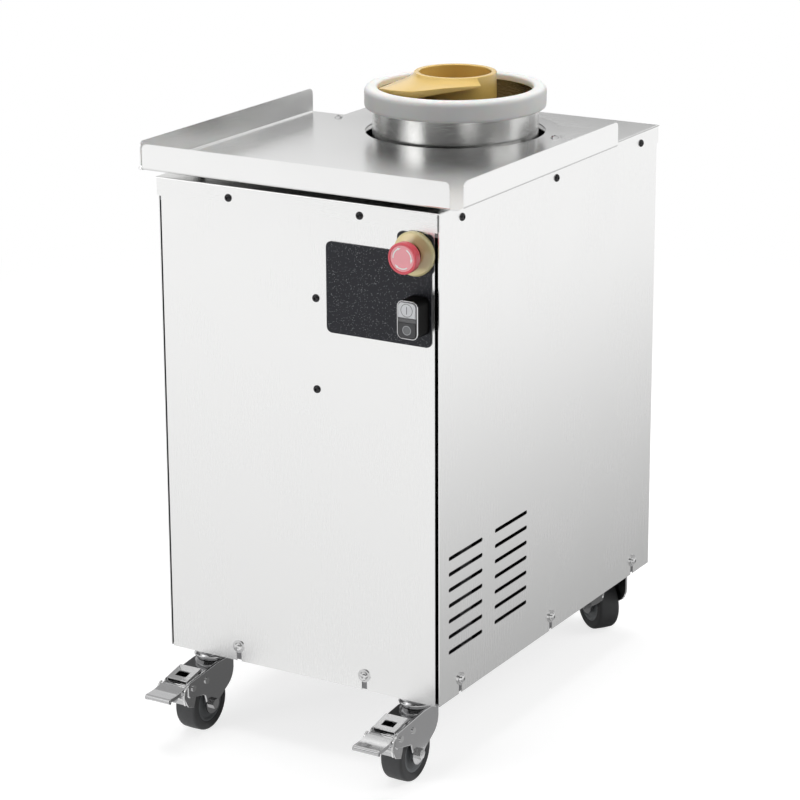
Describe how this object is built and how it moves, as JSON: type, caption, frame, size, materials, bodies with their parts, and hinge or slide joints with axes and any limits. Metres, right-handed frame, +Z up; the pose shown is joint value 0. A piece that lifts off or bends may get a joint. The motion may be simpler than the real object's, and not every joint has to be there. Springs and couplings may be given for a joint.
{
  "type": "conical dough rounder",
  "caption": "Free-standing conical dough rounder: a stainless cabinet on castors turns a ringed drum round a fixed helical auger, which rolls dough pieces up and out onto a wide tray.",
  "frame": {"origin": "middle of the outline on the floor, under the wheels", "axes": "+Z up, +X to the machine's right as seen from the controls, the control panel faces -Y"},
  "size_m": [0.496, 0.755, 0.8695],
  "materials": {
    "stainless": "satin brushed",
    "black_screw": "black oxide",
    "black_plate": "speckled satin",
    "steel": "machined",
    "cast": "painted casting",
    "motor_paint": "satin",
    "belt_rubber": "matte",
    "gold_coat": "matte release coating",
    "white_plastic": "turned",
    "yellow_plastic": "smooth",
    "red_plastic": "smooth",
    "black_plastic": "moulded",
    "bright_trim": "polished",
    "clear_lens": "translucent",
    "grey_key": "moulded",
    "dark_key": "moulded",
    "zinc": "bright zinc plated",
    "tyre_grey": "dark grey"
  },
  "bodies": {
    "cabinet": {"base_pan": "stainless", "cabinet_frame": "stainless", "deck_plate": "steel", "front_panel": "stainless", "right_panel": "stainless", "left_panel": "stainless", "rear_panel": "stainless", "top_cover": "stainless", "cover_screws": "black_screw", "panel_bolts": "stainless", "tray": "stainless", "tray_walls": "stainless", "tray_spacers": "stainless", "tray_screws": "stainless", "control_plate": "black_plate", "estop_disc": "yellow_plastic", "estop_body": "black_plastic", "switch_body": "black_plastic", "switch_bezel": "bright_trim", "switch_lens": "clear_lens", "control_box": "motor_paint", "box_screws": "black_screw", "motor": "motor_paint", "gearbox": "cast", "deck_bolts": "steel", "bearing_housing": "cast", "spindle_bearings": "steel", "center_post": "steel", "drive_belt": "belt_rubber", "cable_gland": "black_plastic", "castor_stems": "zinc", "castor_nuts": "steel"},
    "bowl": {"drum": "stainless", "rim_ring": "white_plastic", "spindle": "steel", "driven_pulley": "steel", "drum_screws": "stainless"},
    "motor_output": {"drive_shaft": "steel", "drive_pulley": "steel"},
    "feed_auger": {"auger": "gold_coat", "auger_hub": "gold_coat", "auger_flight": "gold_coat"},
    "estop_plunger": {"estop_stem": "black_plastic"},
    "estop_head": {"estop_button": "red_plastic"},
    "start_key": {"start_button": "grey_key"},
    "stop_key": {"stop_button": "dark_key"},
    "swivel_front_left": {"fork_front_left": "zinc", "axle_front_left": "zinc"},
    "roller_front_left": {"wheel_front_left": "tyre_grey"},
    "brake_front_left": {"brake_lever_front_left": "zinc"},
    "swivel_front_right": {"fork_front_right": "zinc", "axle_front_right": "zinc"},
    "roller_front_right": {"wheel_front_right": "tyre_grey"},
    "brake_front_right": {"brake_lever_front_right": "zinc"},
    "swivel_rear_left": {"fork_rear_left": "zinc", "axle_rear_left": "zinc"},
    "roller_rear_left": {"wheel_rear_left": "tyre_grey"},
    "swivel_rear_right": {"fork_rear_right": "zinc", "axle_rear_right": "zinc"},
    "roller_rear_right": {"wheel_rear_right": "tyre_grey"}
  },
  "joints": [
    {"name": "bowl_spin", "type": "hinge", "parent": "cabinet", "child": "bowl", "pos_m": [0, 0.1465, 0.6], "axis": [0, 0, 1], "continuous": true},
    {"name": "motor_spin", "type": "hinge", "parent": "cabinet", "child": "motor_output", "pos_m": [0, -0.1325, 0.574], "axis": [0, 0, 1], "continuous": true},
    {"name": "auger_lift", "type": "slide", "parent": "cabinet", "child": "feed_auger", "axis": [0, 0, 1], "range_m": [0, 0.3]},
    {"name": "estop_press", "type": "slide", "parent": "cabinet", "child": "estop_plunger", "axis": [0, 1, 0], "range_m": [0, 0.005]},
    {"name": "estop_twist", "type": "hinge", "parent": "estop_plunger", "child": "estop_head", "pos_m": [0.182, -0.2965, 0.722], "axis": [0, 1, 0], "range_deg": [0, 45]},
    {"name": "start_press", "type": "slide", "parent": "cabinet", "child": "start_key", "axis": [0, 1, 0], "range_m": [0, 0.003], "stiffness_N_per_m": 300, "springref_m": -0.001},
    {"name": "stop_press", "type": "slide", "parent": "cabinet", "child": "stop_key", "axis": [0, 1, 0], "range_m": [0, 0.003], "stiffness_N_per_m": 300, "springref_m": -0.001},
    {"name": "swivel_turn_front_left", "type": "hinge", "parent": "cabinet", "child": "swivel_front_left", "pos_m": [-0.165, -0.2465, 0.095], "axis": [0, 0, 1], "continuous": true},
    {"name": "wheel_roll_front_left", "type": "hinge", "parent": "swivel_front_left", "child": "roller_front_left", "pos_m": [-0.165, -0.2745, 0.04], "axis": [1, 0, 0], "continuous": true},
    {"name": "brake_press_front_left", "type": "hinge", "parent": "swivel_front_left", "child": "brake_front_left", "pos_m": [-0.165, -0.3195, 0.078], "axis": [1, 0, 0], "range_deg": [0, 6.5]},
    {"name": "swivel_turn_front_right", "type": "hinge", "parent": "cabinet", "child": "swivel_front_right", "pos_m": [0.165, -0.2465, 0.095], "axis": [0, 0, 1], "continuous": true},
    {"name": "wheel_roll_front_right", "type": "hinge", "parent": "swivel_front_right", "child": "roller_front_right", "pos_m": [0.165, -0.2745, 0.04], "axis": [1, 0, 0], "continuous": true},
    {"name": "brake_press_front_right", "type": "hinge", "parent": "swivel_front_right", "child": "brake_front_right", "pos_m": [0.165, -0.3195, 0.078], "axis": [1, 0, 0], "range_deg": [0, 6.5]},
    {"name": "swivel_turn_rear_left", "type": "hinge", "parent": "cabinet", "child": "swivel_rear_left", "pos_m": [-0.165, 0.3175, 0.095], "axis": [0, 0, 1], "continuous": true},
    {"name": "wheel_roll_rear_left", "type": "hinge", "parent": "swivel_rear_left", "child": "roller_rear_left", "pos_m": [-0.18794, 0.33356, 0.04], "axis": [-0.5736, -0.8192, 0], "continuous": true},
    {"name": "swivel_turn_rear_right", "type": "hinge", "parent": "cabinet", "child": "swivel_rear_right", "pos_m": [0.165, 0.3175, 0.095], "axis": [0, 0, 1], "continuous": true},
    {"name": "wheel_roll_rear_right", "type": "hinge", "parent": "swivel_rear_right", "child": "roller_rear_right", "pos_m": [0.14206, 0.33356, 0.04], "axis": [-0.5736, -0.8192, 0], "continuous": true}
  ],
  "couplings": [
    {"joint": "motor_spin", "follows": "bowl_spin", "ratio": 3}
  ]
}
